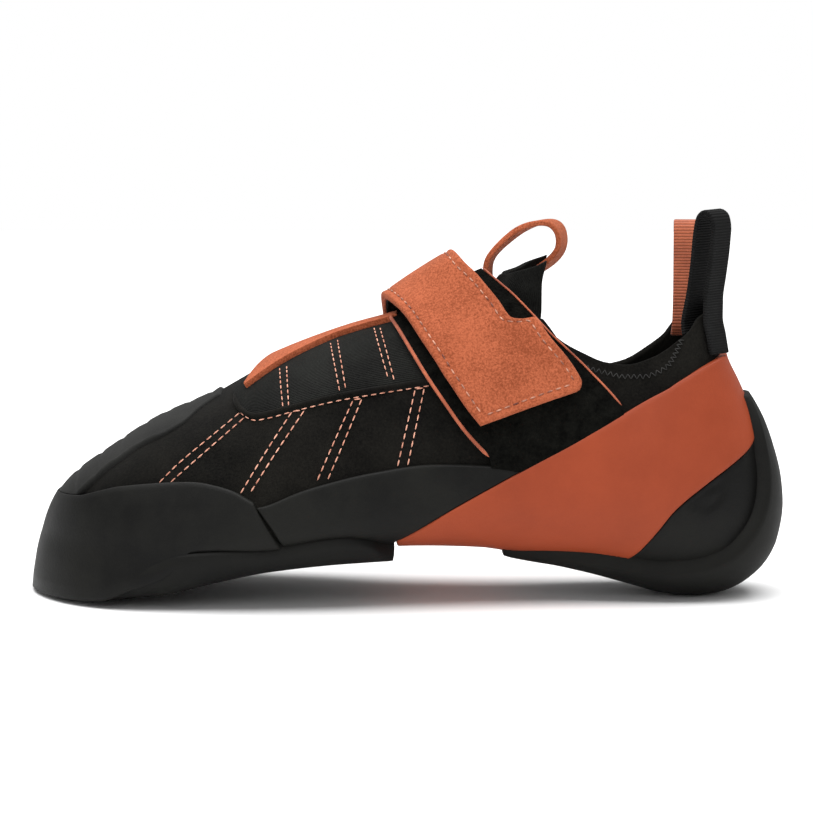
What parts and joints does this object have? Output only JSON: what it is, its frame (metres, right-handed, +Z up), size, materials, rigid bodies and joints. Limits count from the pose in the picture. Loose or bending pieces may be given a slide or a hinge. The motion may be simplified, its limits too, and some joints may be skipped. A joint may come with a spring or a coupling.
{
  "type": "climbing shoe",
  "caption": "Downturned climbing shoe for the left foot: hollow upper with rubber toe, side and heel rands, split sole, closing flap on a loop patch, pull loops.",
  "frame": {"origin": "centre of the shoe's footprint, on the ground under the sole", "axes": "+X along the foot towards the heel, +Y towards the inner side of the foot, +Z up"},
  "size_m": [0.2499, 0.091, 0.1292],
  "materials": {
    "upper_suede": "matt suede",
    "insole_board": "matt",
    "stretch_knit": "matt",
    "sole_rubber": "matt",
    "rand_rubber": "satin",
    "orange_rubber": "satin",
    "patch_rubber": "matt",
    "orange_suede": "matt suede",
    "loop_pile": "matt",
    "black_webbing": "matt",
    "orange_webbing": "matt"
  },
  "bodies": {
    "root": {"upper": "upper_suede", "insole": "insole_board", "tongue": "stretch_knit", "outsole_front": "sole_rubber", "heel_sole": "sole_rubber", "heel_cup": "rand_rubber", "toe_rand": "rand_rubber", "side_rand_outer": "rand_rubber", "side_rand_inner": "rand_rubber", "heel_rand": "orange_rubber", "toe_patch": "patch_rubber", "instep_strip": "orange_suede", "loop_patch": "loop_pile", "strap": "orange_suede", "tongue_loop": "orange_suede", "heel_loop_outer": "black_webbing", "heel_loop_inner": "orange_webbing"}
  },
  "joints": []
}
